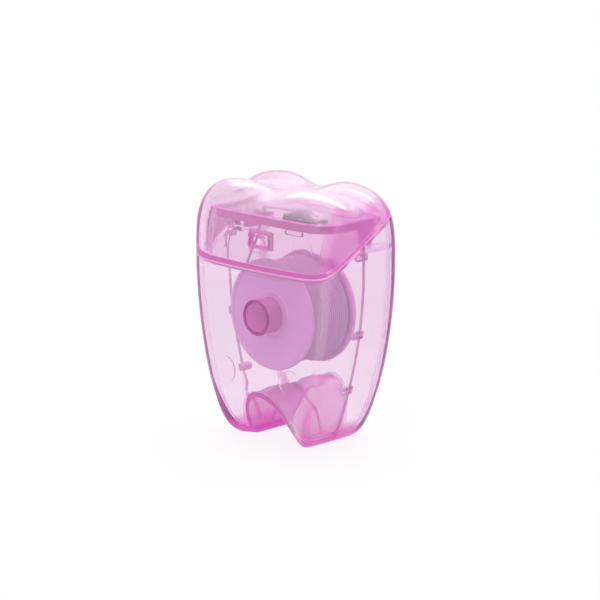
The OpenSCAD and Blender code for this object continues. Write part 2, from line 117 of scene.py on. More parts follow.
def crown_ring(t, inset):
    """Ring of the crown at a part t of its height, with the cross of grooves between the cusps."""
    across, deep = (1 - t ** DOME_X) ** (1 / DOME_X), (1 - t ** DOME_Y) ** (1 / DOME_Y)
    x, y = unit_ring(CORNER_N - (CORNER_N - TOP_N) * t ** 3, 0)
    x, y = x * (BODY_W / 2 - inset) * across, y * (REAR - inset) * deep
    cross = 1 - (1 - np.exp(-(2 * x / GROOVE_W) ** 2)) * (1 - np.exp(-(2.4 * y / GROOVE_W) ** 2))
    return x, y, t - GROOVE_D / (BODY_H - SHOULDER) * t ** 4 * cross


def body_ring(z, inset):
    sink = FURROW * (1 - z / FURROW_TOP) ** FURROW_CURVE if z < FURROW_TOP else 0
    x, y = unit_ring(TIP_N + (CORNER_N - TIP_N) * min(1, z / 14), sink)
    lift = inset * max(0, 1 - z / 8)
    return np.stack([x * (half_w(z) - inset), y * (half_d(z) - inset), 0 * x + z + lift], 1)


# Heights of the rings, closer together where the form bends most
TIP_RINGS = [0, 0.06, 0.15, 0.3, 0.5, 0.75, 1.05, 1.4, 1.8, 2.3, 2.9, 3.6, 4.4, 5.2, 6, 7, 8, 9, 10]
BODY_RINGS = TIP_RINGS + list(np.arange(11, SHOULDER + 0.1, 1.0))
CROWN_T = np.sin(np.linspace(0, math.pi / 2, 46)[1:-1]) ** (2 / DOME_X)
CROWN_T = np.concatenate([np.linspace(0.02, CROWN_T[0], 12)[:-1], CROWN_T])
PEAK = max(crown_ring(t, 0)[2].max() for t in CROWN_T)


def tooth(name, inset, start=0.0):
    """The whole tooth drawn in by an inset, from a height up."""
    rings = [body_ring(z, inset) for z in BODY_RINGS if z >= start]
    scale = (BODY_H - inset - SHOULDER) / PEAK
    for t in CROWN_T:
        x, y, h = crown_ring(t, inset)
        rings.append(np.stack([x, y, SHOULDER + scale * h], 1))
    n, rows = len(ANGLES), len(rings)
    apex = [0, 0, SHOULDER + scale * (1 - GROOVE_D / (BODY_H - SHOULDER))]
    points = np.concatenate(rings + [[apex, [0, 0, rings[0][0][2]]]])
    faces = [
        (j * n + i, j * n + (i + 1) % n, (j + 1) * n + (i + 1) % n, (j + 1) * n + i)
        for j in range(rows - 1) for i in range(n)
    ]
    top, bottom = rows * n, rows * n + 1
    faces += [((rows - 1) * n + i, (rows - 1) * n + (i + 1) % n, top) for i in range(n)]
    faces += [((i + 1) % n, i, bottom) for i in range(n)]
    return solid(name, points, faces)


# Making and cutting solids
def solid(name, points, faces):
    mesh = bpy.data.meshes.new(name)
    mesh.from_pydata([tuple(map(float, p)) for p in points], [], faces)
    mesh.update()
    ob = bpy.data.objects.new(name, mesh)
    bpy.context.scene.collection.objects.link(ob)
    return ob


def tidy_normals(ob):
    bm = bmesh.new()
    bm.from_mesh(ob.data)
    bmesh.ops.remove_doubles(bm, verts=bm.verts, dist=1e-5)
    bmesh.ops.recalc_face_normals(bm, faces=bm.faces)
    bm.to_mesh(ob.data)
    bm.free()
    return ob


def block(x0, x1, y0, y1, z0, z1, matrix=None):
    points = [(x, y, z) for x in (x0, x1) for y in (y0, y1) for z in (z0, z1)]
    faces = [(0, 1, 3, 2), (4, 6, 7, 5), (0, 4, 5, 1), (2, 3, 7, 6), (0, 2, 6, 4), (1, 5, 7, 3)]
    ob = solid("block", points, faces)
    if matrix is not None:
        ob.data.transform(matrix)
    return ob


def seam_plane(shift):
    return Matrix.Translation((0, 0, SEAM_Z + shift)) @ Matrix.Rotation(TILT, 4, "X")


def below_seam(drop):
    return block(-FAR, FAR, -FAR, FAR, -2 * FAR, 0, seam_plane(-drop))


def above_seam(rise):
    return block(-FAR, FAR, -FAR, FAR, 0, 2 * FAR, seam_plane(rise))


def slab(z0, z1):
    return block(-FAR, FAR, -FAR, FAR, z0, z1)


def prism_y(outline, y0, y1):
    """An outline of (x, z) drawn out from front to rear."""
    n = len(outline)
    points = [(x, y0, z) for x, z in outline] + [(x, y1, z) for x, z in outline]
    faces = [tuple(range(n)), tuple(range(2 * n - 1, n - 1, -1))]
    faces += [(i, i + n, (i + 1) % n + n, (i + 1) % n) for i in range(n)]
    return tidy_normals(solid("prism", points, faces))


def arch(grow):
    w, h = ARCH_W / 2 + grow, ARCH_H + grow
    curve = [(w * math.cos(a), h * math.sin(a)) for a in np.radians(np.linspace(0, 180, 61))]
    return prism_y([(-w, -1), (w, -1)] + curve, -FAR, FAR)


def about(axis, place, radius, angle, height):
    """The point at a radius, an angle and a height about an axis through a place."""
    c, s = radius * math.cos(angle), radius * math.sin(angle)
    point = {"X": (height, c, s), "Y": (c, height, s), "Z": (c, s, height)}[axis]
    return tuple(p + q for p, q in zip(point, place))


def turned(profile, steps, place):
    """A closed outline of (radius, height) turned about the axis through a place from front to rear."""
    n = len(profile)
    points, faces = [], []
    for k in range(steps):
        points += [about("Y", place, r, 2 * math.pi * k / steps, h) for r, h in profile]
        for i in range(n):
            a0, b0 = k * n + i, k * n + (i + 1) % n
            faces.append((a0, b0, (b0 + n) % (n * steps), (a0 + n) % (n * steps)))
    return tidy_normals(solid("turned", points, faces))


def rod(axis, place, h0, h1, r, steps=48, round_by=0.0):
    """A round bar along an axis, its ends rounded a little."""
    c = round_by
    side = [(r - c, h0), (r, h0 + c), (r, h1 - c), (r - c, h1)] if c else [(r, h0), (r, h1)]
    n = len(side)
    points, faces = [], []
    for k in range(steps):
        points += [about(axis, place, q, 2 * math.pi * k / steps, h) for q, h in side]
        a0, a1 = k * n, (k + 1) % steps * n
        faces += [(a0 + i, a0 + i + 1, a1 + i + 1, a1 + i) for i in range(n - 1)]
    faces.append(tuple(k * n for k in range(steps)))
    faces.append(tuple(k * n + n - 1 for k in reversed(range(steps))))
    return tidy_normals(solid("rod", points, faces))


def carve(target, how, *tools):
    """Joins, cuts or meets a solid with others, which are used up."""
    for tool in tools:
        mod = target.modifiers.new("carve", "BOOLEAN")
        mod.object, mod.operation, mod.solver = tool, how, "MANIFOLD"
        bpy.context.view_layer.update()
        graph = bpy.context.evaluated_depsgraph_get()
        mesh = bpy.data.meshes.new_from_object(target.evaluated_get(graph))
        target.modifiers.clear()
        target.data = mesh
        bpy.data.objects.remove(tool)
    return target


def cut(target, *tools):
    return carve(target, "DIFFERENCE", *tools)


def join(target, *tools):
    return carve(target, "UNION", *tools)


def meet(target, *tools):
    return carve(target, "INTERSECT", *tools)


def copy_of(ob):
    twin = ob.copy()
    twin.data = ob.data.copy()
    bpy.context.scene.collection.objects.link(twin)
    return twin


def finish(ob, name, material, body, node, sharp=38):
    """Cleans a piece, turns it into metres and sets it in the frame in a node's stead."""
    bm = bmesh.new()
    bm.from_mesh(ob.data)
    bmesh.ops.remove_doubles(bm, verts=bm.verts, dist=2e-3)
    bmesh.ops.dissolve_degenerate(bm, edges=bm.edges, dist=1e-3)
    bm.to_mesh(ob.data)
    bm.free()
    ob.data.transform(Matrix.Scale(0.001, 4))
    ob.name = ob.data.name = name
    ob.data.materials.clear()
    ob.data.materials.append(material)
    ob.data.polygons.foreach_set("use_smooth", [True] * len(ob.data.polygons))
    ob.data.set_sharp_from_angle(angle=math.radians(sharp))
    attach(ob, body)
    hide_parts(node)


# Places of the pegs between the halves, left and right, as (x, z)
PEG_HEIGHTS = (10.9, 21.8, SEAM_Z - 2.5)
PEG_SPOTS = [(side * (half_w(z) - WALL / 2 - BOSS_R), z) for side in (-1, 1) for z in PEG_HEIGHTS]


# Building materials from nodes
class Graph:
    """Nodes of a material or of the world. A mask is a number from 0 to 1; places are in millimetres."""

    def __init__(self, tree):
        tree.nodes.clear()
        self.nodes, self.links = tree.nodes, tree.links

    def give(self, socket, value):
        """Links an output to a socket, or sets the socket's own value."""
        if isinstance(value, bpy.types.NodeSocket):
            self.links.new(value, socket)
        elif socket.type == "RGBA":
            socket.default_value = (*value, 1)
        else:
            socket.default_value = value

    def add(self, kind, inputs, **settings):
        node = self.nodes.new("ShaderNode" + kind)
        for name, value in settings.items():
            setattr(node, name, value)
        for key, value in inputs.items():
            self.give(node.inputs[key], value)
        return node

    def surroundings(self):
        """Gets the place and the direction that a point of the surface faces."""
        coord = self.add("TexCoord", {})
        self.place, self.facing = coord.outputs["Object"], coord.outputs["Normal"]

    def calc(self, how, *values):
        return self.add("Math", dict(enumerate(values)), operation=how).outputs[0]

    def vector(self, how, *values):
        return self.add("VectorMath", dict(enumerate(values)), operation=how)

    def both(self, first, *others):
        for mask in others:
            first = self.calc("MULTIPLY", first, mask)
        return first

    def most(self, first, *others):
        for mask in others:
            first = self.calc("MAXIMUM", first, mask)
        return first

    def near(self, value, at, reach):
        return self.calc("COMPARE", value, at, reach)

    def over(self, value, limit):
        return self.calc("GREATER_THAN", value, limit)

    def under(self, value, limit):
        return self.calc("LESS_THAN", value, limit)

    def size(self, value):
        return self.calc("ABSOLUTE", value)

    def along(self, x, y, z):
        """How far the place lies along a direction."""
        return self.vector("DOT_PRODUCT", self.place, (1000 * x, 1000 * y, 1000 * z)).outputs["Value"]

    def faces(self, x, y, z):
        """How much the surface faces a direction."""
        return self.vector("DOT_PRODUCT", self.facing, (x, y, z)).outputs["Value"]

    def away(self, scale, centre=(0, 0, 0), place=None):
        """Distance of the place from a centre, with each axis times its scale."""
        grow = [1000 * s for s in scale]
        shift = [-s * c for s, c in zip(scale, centre)]
        moved = self.vector("MULTIPLY_ADD", place or self.place, grow, shift)
        return self.vector("LENGTH", moved.outputs["Vector"]).outputs["Value"]

    def mirrored(self):
        """The place as it would be on the right and at the rear."""
        return self.vector("ABSOLUTE", self.place).outputs["Vector"]

    def in_box(self, middle, half):
        axes = (self.along(1, 0, 0), self.along(0, 1, 0), self.along(0, 0, 1))
        return self.both(*[self.near(axis, m, h) for axis, m, h in zip(axes, middle, half)])

    def ramp(self, value, start, end, low=0.0, high=1.0, smooth=False):
        """Goes from low to high while a value goes from start to end."""
        inputs = {"Value": value, "From Min": start, "From Max": end, "To Min": low, "To Max": high}
        kind = "SMOOTHSTEP" if smooth else "LINEAR"
        return self.add("MapRange", inputs, interpolation_type=kind).outputs["Result"]

    def noise(self, scale, detail=2.0, stretch=None):
        place = self.place
        if stretch:
            place = self.add("Mapping", {"Vector": place, "Scale": stretch}).outputs["Vector"]
        return self.add("TexNoise", {"Vector": place, "Scale": scale, "Detail": detail}).outputs["Fac"]

    def bump(self, height, distance):
        return self.add("Bump", {"Height": height, "Distance": distance, "Strength": 1.0}).outputs["Normal"]

    def tone(self, fac, one, two):
        """A colour between two others, each a colour or an output."""
        return self.add("Mix", {0: fac, 6: one, 7: two}, data_type="RGBA").outputs[2]

    def blend(self, fac, one, two):
        return self.add("MixShader", {"Fac": fac, 1: one, 2: two}).outputs["Shader"]


def new_material(name):
    material = bpy.data.materials.new(name)
    material.use_nodes = True
    graph = Graph(material.node_tree)
    graph.surroundings()
    return material, graph


# Clear tinted plastic: how much light it takes for each millimetre, in red, green and blue
ABSORBED = (0.026, 0.106, 0.036)
DENSITY = 400.0
IOR, SHADOW_TINT, WAVE = 1.45, (0.97, 0.93, 0.96), 0.00002
# A small matt share makes it hazy, and a larger one marks edges and thick parts in their own colours. Some
# larger shares paint light instead: a pale highlight on the ledge under the lid and on the corners, and
# shade in the arch.
HAZE, HAZE_SHARE = (0.90, 0.82, 0.95), 0.055
LID_HAZE, LID_HAZE_SHARE = (0.96, 0.90, 0.94), 0.05
EDGE, EDGE_SHARE = (0.86, 0.19, 0.66), 0.66
# On the arch's wall the deep colour is painted shade inside the arch
DEEP, ARCH_SHADE_SHARE, HUB_SHARE, NECK_SHARE, NECK_CORNER_SHARE = (0.92, 0.27, 0.75), 0.40, 0.52, 0.34, 0.45
ROOT, TIP_SHARE, LOW_SHARE = (0.95, 0.28, 0.77), 0.70, 0.6
# The pale colour on both faces of the ledge under the lid is a painted highlight
PALE, LEDGE_HIGHLIGHT_SHARE, UNDER_LEDGE_HIGHLIGHT_SHARE, BOSS_SHARE = (0.97, 0.68, 0.91), 0.8, 0.5, 0.45
# The milky colour on the upright corners is partly haze and partly a painted pale highlight along them
MILKY_HIGHLIGHT, MILKY_HIGHLIGHT_SHARE = (0.98, 0.83, 0.95), 0.16
REAR_LILAC, REAR_SHARE = (0.95, 0.62, 0.92), 0.30
CHEEK, CHEEK_SHARE = (0.86, 0.31, 0.73), 0.15
NECK_TINT = (0.96, 0.86, 0.93)
# The fine matt frosting of the crown, and a painted pale sheen that stands for the light from above on its
# top, set in between these heights
FROST_START, FROST_END, FROST_ROUGH, FROST_AND_SHEEN_HAZE = 43.0, 45.0, 0.06, 0.18
# Reach to each side of a flat face that still counts as that face
REACH = 0.04


def over_seam(graph):
    """Height over the ground at the middle of the depth, measured along the joint line's slope."""
    return graph.along(0, -SLOPE, 1)


def layered(graph, matt, share, colour):
    """Adds a matt share with its own colour over the (share, colour) that is there."""
    fully = graph.calc("MINIMUM", graph.both(share, 8.0), 1.0)
    return graph.most(matt[0], share), graph.tone(fully, matt[1], colour)


def clear_plastic(graph, tint, rough, matt):
    """Glass of a tint with a matt share, which takes light by the length of the way through it."""
    glass = graph.add("BsdfPrincipled", {
        "Base Color": tint, "Roughness": rough, "IOR": IOR, "Transmission Weight": 1,
        "Normal": graph.bump(graph.noise(130, 1.0), WAVE)})
    dull = graph.add("BsdfDiffuse", {"Color": matt[1]})
    body = graph.blend(matt[0], glass.outputs["BSDF"], dull.outputs["BSDF"])
    through = graph.add("BsdfTransparent", {"Color": SHADOW_TINT})
    path = graph.add("LightPath", {})
    surface = graph.blend(path.outputs["Is Shadow Ray"], body, through.outputs["BSDF"])
    colour = tuple(1 - 1000 * a / DENSITY for a in ABSORBED)
    volume = graph.add("VolumeAbsorption", {"Color": colour, "Density": DENSITY})
    graph.add("OutputMaterial", {"Surface": surface, "Volume": volume.outputs["Volume"]})


def gloss(graph):
    return graph.ramp(graph.noise(180), 0, 1, 0.0, 0.05)


def hazy(graph, edge, haze, haze_share):
    """The matt share and colour of plastic with cut edges."""
    return graph.ramp(edge, 0, 1, haze_share, EDGE_SHARE), graph.tone(edge, haze, EDGE)


def case_edges(graph):
    """The seam between the halves, the top of the neck, and the latch window with its raised rim."""
    window = (LATCH_W / 2 + 0.05, 4, LATCH_H / 2 + 0.05)
    frame_half = (LATCH_W / 2 + LATCH_RIM + 0.05, 0.25, LATCH_H / 2 + LATCH_RIM + 0.05)
    return graph.most(
        graph.near(graph.along(0, 1, 0), 0, 0.03),
        graph.near(graph.along(0, 0, 1), NECK_Z, REACH),
        graph.in_box((0, FRONT, LATCH_Z), window),
        graph.in_box((0, FRONT + MOUTH_IN + 0.27, LATCH_Z), frame_half))


def case_corners(graph):
    """1 on the four upright corners under the lid, where the wall is thickest to look through; the milky
    colour put there is partly a painted pale highlight.
    """
    size = graph.vector("ABSOLUTE", graph.facing).outputs["Vector"]
    parts = graph.add("SeparateXYZ", {"Vector": size})
    turn = graph.both(parts.outputs["X"], parts.outputs["Y"])
    below = graph.under(over_seam(graph), SEAM_Z - 0.05)
    return graph.both(graph.ramp(turn, 0.25, 0.5, smooth=True), below)


def root_ends(graph, corners):
    """How matt the case is on its root tips and on the low ends of its corners."""
    down = graph.along(0, 0, -1)
    low = graph.both(corners, graph.ramp(down, -11.0, -5.0, smooth=True), LOW_SHARE)
    return graph.most(low, graph.both(graph.ramp(down, -3.6, 0.0, smooth=True), TIP_SHARE))


def deep_parts(graph):
    """How matt the case is on the arch's wall, the hub and the sides and corners of the neck; on the arch's
    wall the deep colour is painted shade inside the arch.
    """
    outer, skin, corner_from = (ARCH_W / 2, ARCH_H), WALL + 0.08, 22.8
    outside = graph.over(graph.away((1 / outer[0], 0, 1 / outer[1])), 0.97)
    inside = graph.under(graph.away((1 / (outer[0] + skin), 0, 1 / (outer[1] + skin))), 1.0)
    arch_shade = graph.ramp(graph.noise(300, 1.0), 0, 1, ARCH_SHADE_SHARE - 0.1, ARCH_SHADE_SHARE + 0.1)
    at_hub = graph.under(graph.away((1, 0, 1), HUB), HUB_R + 0.05)
    within = graph.near(graph.along(0, 1, 0), 0.0, REAR - WALL + 0.15)
    neck = graph.over(over_seam(graph), SEAM_Z + 0.05)
    out = graph.size(graph.along(1, 0, 0))
    side = graph.over(out, BODY_W / 2 - MOUTH_IN - 0.4)
    corner = graph.over(graph.calc("ADD", out, graph.along(0, -1, 0)), corner_from)
    return graph.most(
        graph.both(outside, inside, arch_shade), graph.both(at_hub, within, HUB_SHARE),
        graph.both(neck, side, NECK_SHARE), graph.both(neck, corner, NECK_CORNER_SHARE))


def pale_parts(graph):
    """How matt the case is on both faces of the ledge under the lid, where the pale colour is a painted
    highlight, and on the bosses of the pegs.
    """
    height = over_seam(graph)
    share = graph.most(
        graph.both(graph.near(height, SEAM_Z, REACH), LEDGE_HIGHLIGHT_SHARE),
        graph.both(graph.near(height, SEAM_Z - RIM_T, REACH), UNDER_LEDGE_HIGHLIGHT_SHARE))
    within = graph.near(graph.along(0, 1, 0), 0.0, BOSS_L + 0.03)
    for x, z in PEG_SPOTS[len(PEG_HEIGHTS):]:
        at_boss = graph.under(graph.away((1, 0, 1), (x, 0, z), graph.mirrored()), BOSS_R + 0.03)
        share = graph.most(share, graph.both(at_boss, within, BOSS_SHARE))
    return share


def case_material():
    material, graph = new_material("clear_case")
    corners = case_corners(graph)
    behind = graph.over(graph.along(0, 1, 0), 0.0)
    matt = hazy(graph, case_edges(graph), HAZE, HAZE_SHARE)
    # Painted light among these: the milky corners are partly a painted pale highlight, the deep colour in
    # the arch is painted shade, and the pale ledge is a painted highlight
    for share, colour in (
            (graph.both(corners, MILKY_HIGHLIGHT_SHARE), MILKY_HIGHLIGHT),
            (graph.both(corners, behind, REAR_SHARE), REAR_LILAC),
            (root_ends(graph, corners), ROOT),
            (deep_parts(graph), DEEP),
            (pale_parts(graph), PALE)):
        matt = layered(graph, matt, share, colour)
    neck = graph.over(over_seam(graph), SEAM_Z + 0.05)
    clear_plastic(graph, graph.tone(neck, (1, 1, 1), NECK_TINT), gloss(graph), matt)
    return material


def deck_material():
    material, graph = new_material("clear_deck")
    upright = graph.near(graph.faces(0, 0, 1), 0.0, 0.35)
    clear_plastic(graph, (1, 1, 1), gloss(graph), hazy(graph, upright, HAZE, HAZE_SHARE))
    return material


def catch_side(graph):
    """1 on the rounded side of the catch, an arch that stands inside the lid's front wall."""
    half, middle = CATCH_W / 2, (0, 0, LATCH_Z - CATCH_H / 2)
    round_side = graph.near(graph.away((1 / half, 0, 1 / CATCH_H), middle), 1.0, 0.04)
    return graph.both(round_side, graph.near(graph.along(0, 1, 0), FRONT + LID_WALL + 0.18, 0.19))


def lid_material():
    material, graph = new_material("clear_lid")
    rim = graph.near(over_seam(graph), SEAM_Z + SEAM_GAP, REACH)
    face_middle, face_half = (0, FRONT + LID_WALL + 0.2, LATCH_Z), (2.2, 0.1, 1.2)
    catch_face = graph.in_box(face_middle, face_half)
    matt = hazy(graph, graph.most(rim, catch_face), LID_HAZE, LID_HAZE_SHARE)
    cheeks = graph.ramp(graph.size(graph.faces(1, 0, 0)), 0.6, 0.95, 0.0, CHEEK_SHARE, smooth=True)
    matt = layered(graph, matt, cheeks, CHEEK)
    matt = layered(graph, matt, graph.both(catch_side(graph), EDGE_SHARE), EDGE)
    # Painted pale sheen on the crown's top, together with its fine matt frosting
    frost_and_sheen = graph.ramp(graph.along(0, 0, 1), FROST_START, FROST_END, smooth=True)
    rough = graph.calc("ADD", gloss(graph), graph.both(frost_and_sheen, FROST_ROUGH))
    share = graph.calc("ADD", matt[0], graph.both(frost_and_sheen, FROST_AND_SHEEN_HAZE))
    clear_plastic(graph, (1, 1, 1), rough, (share, matt[1]))
    return material


# Opaque materials
def opaque(graph, dark, pale, rough, relief, grains, **fixed):
    """A surface whose colour, roughness and relief follow three grains."""
    shader = graph.add("BsdfPrincipled", {
        "Base Color": graph.tone(grains[0], dark, pale), "Roughness": graph.ramp(grains[1], 0, 1, *rough),
        "Normal": graph.bump(grains[2], relief), **fixed})
    graph.add("OutputMaterial", {"Surface": shader.outputs["BSDF"]})


def bobbin_material():
    material, graph = new_material("bobbin_lilac")
    grains = (graph.noise(220, 3.0), graph.noise(900), graph.noise(1600))
    opaque(graph, (0.74, 0.39, 0.72), (0.82, 0.45, 0.80), (0.3, 0.42), 0.00001, grains)
    return material


def floss_material():
    material, graph = new_material("waxed_floss")
    fibres = graph.noise(1.0, 3.0, (900, 6000, 900))
    opaque(graph, (0.55, 0.30, 0.53), (0.67, 0.38, 0.65), (0.35, 0.6), 0.00004, [fibres] * 3,
           **{"Sheen Weight": 0.3})
    return material


def steel_material():
    material, graph = new_material("cutter_steel")
    brushed = graph.noise(1.0, 4.0, (400, 9000, 400))
    # The steel is painted dark purple: it stands for the pink lid it is seen through, which tints and dims
    # its reflections, not for the steel's own grey
    opaque(graph, (0.20, 0.10, 0.19), (0.29, 0.16, 0.28), (0.22, 0.42), 0.000004, [brushed] * 3, Metallic=1)
    return material


CASE, DECK, LID = case_material(), deck_material(), lid_material()
BOBBIN, FLOSS, STEEL = bobbin_material(), floss_material(), steel_material()


# The two case halves
def case_walls():
    walls = meet(tooth("walls", 0), below_seam(0))
    neck = meet(tooth("neck", NECK_IN, UPPER), slab(SHOULDER - 6, NECK_Z))
    hollow = cut(meet(tooth("hollow", WALL), below_seam(RIM_T)), arch(WALL))
    mouth = meet(tooth("mouth", MOUTH_IN, UPPER), above_seam(-RIM_T - 0.5))
    return cut(join(walls, neck), hollow, mouth, arch(0))


def hinge_bar(x0, x1, r, steps=40, round_by=0.0):
    return rod("X", HINGE, x0, x1, r, steps, round_by)


def pads_and_ledges(half):
    """Round ejector marks inside the front wall and the neck, and ledges under the deck's front edge."""
    ledge_y, ledge_z = FRONT + MOUTH_IN - 0.5, DECK_Z - DECK_T
    neck_y = FRONT + MOUTH_IN
    for side in (-1, 1):
        x0, x1 = side * LEDGE_X - LEDGE_W / 2, side * LEDGE_X + LEDGE_W / 2
        join(half, block(x0, x1, ledge_y, ledge_y + LEDGE_D, ledge_z - LEDGE_T, ledge_z))
        for (x, z), y0, y1 in ((PADS_LOW, FRONT + WALL / 2, FRONT + WALL + PAD_T),
                               (PADS_HIGH, neck_y - NECK_WALL / 2, neck_y + PAD_T)):
            join(half, rod("Y", (side * x, 0, z), y0, y1, PAD_R))


def latch_window(half):
    """The window in the neck and the raised rim around it."""
    y = FRONT + MOUTH_IN
    w, h = LATCH_W / 2, LATCH_H / 2
    rim_w, rim_h = w + LATCH_RIM, h + LATCH_RIM
    join(half, block(-rim_w, rim_w, y - 0.3, y + LATCH_RIM_T, LATCH_Z - rim_h, LATCH_Z + rim_h))
    cut(half, block(-w, w, FRONT + LID_WALL, y + 1, LATCH_Z - h, LATCH_Z + h))


def front_half(walls):
    half = meet(walls, block(-FAR, FAR, -FAR, -SEAM_HALF, -FAR, 2 * FAR))
    join(half, rod("Y", HUB, -half_d(HUB_Z) + WALL / 2, SLEEVE_Y, HUB_R, 64))
    for x, z in PEG_SPOTS:
        join(half, rod("Y", (x, 0, z), -BOSS_L, -SEAM_HALF, BOSS_R, 32, 0.1))
        join(half, rod("Y", (x, 0, z), -1, BOSS_L - 0.4, PEG_R, 24, 0.15))
    pads_and_ledges(half)
    latch_window(half)
    return cut(half, rod("Y", HUB, -half_d(HUB_Z) + WALL, SLEEVE_Y + 1, POST_R + POST_CLEAR, 64))


def rear_half(walls):
    half = meet(walls, block(-FAR, FAR, SEAM_HALF, FAR, -FAR, 2 * FAR))
    for x, z in PEG_SPOTS:
        join(half, rod("Y", (x, 0, z), SEAM_HALF, BOSS_L, BOSS_R, 32, 0.1))
    shelf_y0, shelf_y1, shelf_half = 0.9, 8.6, 1.5
    shelf_x = half_w(SHELF_Z) - 0.7 * WALL - shelf_half
    for side in (-1, 1):
        x = side * shelf_x
        join(half, block(x - shelf_half, x + shelf_half, shelf_y0, shelf_y1, SHELF_Z - SHELF_T, SHELF_Z))
    join(half, rod("Y", HUB, POST_Y, half_d(HUB_Z) - WALL / 2, HUB_R, 64))
    ear = KNUCKLE_W / 2 + HINGE_GAP
    for side in (-1, 1):
        x0, x1 = sorted((side * ear, side * (ear + EAR_W)))
        web = block(x0, x1, HINGE_Y - KNUCKLE_R - WALL, HINGE_Y, DECK_Z + DECK_FIT, HINGE_Z)
        join(half, meet(web, below_seam(0)), hinge_bar(x0, x1, KNUCKLE_R))
    for x, z in PEG_SPOTS:
        cut(half, rod("Y", (x, 0, z), -1, BOSS_L - 0.2, PEG_R + PEG_FIT, 24))
    pins = KNUCKLE_W / 2 + PIN_L + 0.2
    cut(half, hinge_bar(-ear, ear, KNUCKLE_R + HINGE_GAP), hinge_bar(-pins, pins, PIN_R + PIN_CLEAR, 32))
    join(half, rod("Y", HUB, SLEEVE_Y - POST_GRIP, POST_Y + 1, POST_R, 64, 0.2))
    return cut(half, rod("Y", HUB, SLEEVE_Y - 4, half_d(HUB_Z) - WALL, POST_R - POST_WALL, 64))


walls = case_walls()
front = front_half(copy_of(walls))
rear = rear_half(walls)
finish(front, "front_case_half", CASE, "case", "front_shell")
finish(rear, "rear_case_half", CASE, "case", "rear_shell")


# Lid: the hollow crown with its middle knuckle, stub pins and catch
def lid():
    cap = cut(tooth("cap", 0, UPPER), tooth("cap_inside", LID_WALL, UPPER - 2))
    cap = meet(cap, above_seam(SEAM_GAP))
    end = KNUCKLE_W / 2
    web = block(-end, end, HINGE_Y - KNUCKLE_R - 1.4, HINGE_Y, HINGE_Z - 1, HINGE_Z + KNUCKLE_R)
    join(cap, meet(web, above_seam(SEAM_GAP)))
    for side in (-1, 1):
        x0, x1 = sorted((side * end, side * (end + EAR_W + 2 * HINGE_GAP)))
        cut(cap, hinge_bar(x0, x1, KNUCKLE_R + HINGE_GAP))
    join(cap, hinge_bar(-end, end, KNUCKLE_R), hinge_bar(-end - PIN_L, end + PIN_L, PIN_R, 32, 0.15))
    top = [(CATCH_W / 2 * math.cos(a), LATCH_Z + CATCH_H * (math.sin(a) - 0.5))
           for a in np.radians(np.linspace(0, 180, 33))]
    return join(cap, prism_y(top, FRONT + LID_WALL / 2, FRONT + LID_WALL + CATCH_T))


finish(lid(), "lid_crown", LID, "lid", "crown_lid")


# Deck: plate, outlet collar, feet and the slots for the cutter's prongs
def deck():
    wide = meet(tooth("wide", WALL + DECK_FIT, UPPER), below_seam(RIM_T + DECK_FIT))
    plate = join(tooth("plate", MOUTH_IN + DECK_FIT, UPPER), wide)
    meet(plate, slab(DECK_Z - DECK_T, DECK_Z))
    outlet = (OUTLET_X, OUTLET_Y, 0)
    join(plate, rod("Z", outlet, DECK_Z - 0.1, DECK_Z + OUTLET_H, OUTLET_R, 48, 0.2))
    foot_x, foot_half, foot_y0, foot_y1 = half_w(SHELF_Z) - MOUTH_IN - DECK_FIT - 1.2, 0.5, 2, 5
    for side in (-1, 1):
        x = side * foot_x
        join(plate, block(x - foot_half, x + foot_half, foot_y0, foot_y1, SHELF_Z, DECK_Z - DECK_T + 0.2))
    cut(plate, rod("Z", outlet, DECK_Z - DECK_T - 1, DECK_Z + 4, OUTLET_BORE_R, 32))
    across, along = CUTTER_T / 2 + PRONG_FIT, CUTTER_W / 2 + PRONG_FIT
    for side in (-1, 1):
        x, y = CUTTER_X + side * (CUTTER_L - CUTTER_T) / 2, CUTTER_Y
        cut(plate, block(x - across, x + across, y - along, y + along, DECK_Z - 2, DECK_Z + 2))
    return plate


finish(deck(), "deck_plate", DECK, "case", "top_deck")


# Bobbin, the same at both ends
def fillet(corner, start, end, steps=4):
    """Points that round a corner of an outline from one point to another."""
    a, p0, p1 = np.array(corner), np.array(start), np.array(end)
    parts = [k / steps for k in range(steps + 1)]
    return [tuple((1 - s) ** 2 * p0 + 2 * s * (1 - s) * a + s * s * p1) for s in parts]


def bobbin():
    bore, r, t, y0 = POST_R + BORE_CLEAR, FLANGE_R, FLANGE_T, BOBBIN_Y0
    chamfer, edge, root, recess = 0.15, 0.22, 0.4, 0.18
    recess_r0, recess_r1 = BARREL_R + 0.6, 9.7
    side = [(bore, y0 + chamfer), (bore + chamfer, y0), (BARREL_R + 0.3, y0),
            (recess_r0, y0 + recess), (recess_r1, y0 + recess), (recess_r1 + 0.2, y0)]
    side += fillet((r, y0), (r - edge, y0), (r, y0 + edge))
    side += fillet((r, y0 + t), (r, y0 + t - edge), (r - edge, y0 + t))
    side += fillet((BARREL_R, y0 + t), (BARREL_R + root, y0 + t), (BARREL_R, y0 + t + root))
    other = [(radius, y0 + BOBBIN_Y1 - y) for radius, y in reversed(side)]
    return turned(side + other, 128, HUB)


finish(bobbin(), "bobbin_spool", BOBBIN, "spool", "bobbin", 30)


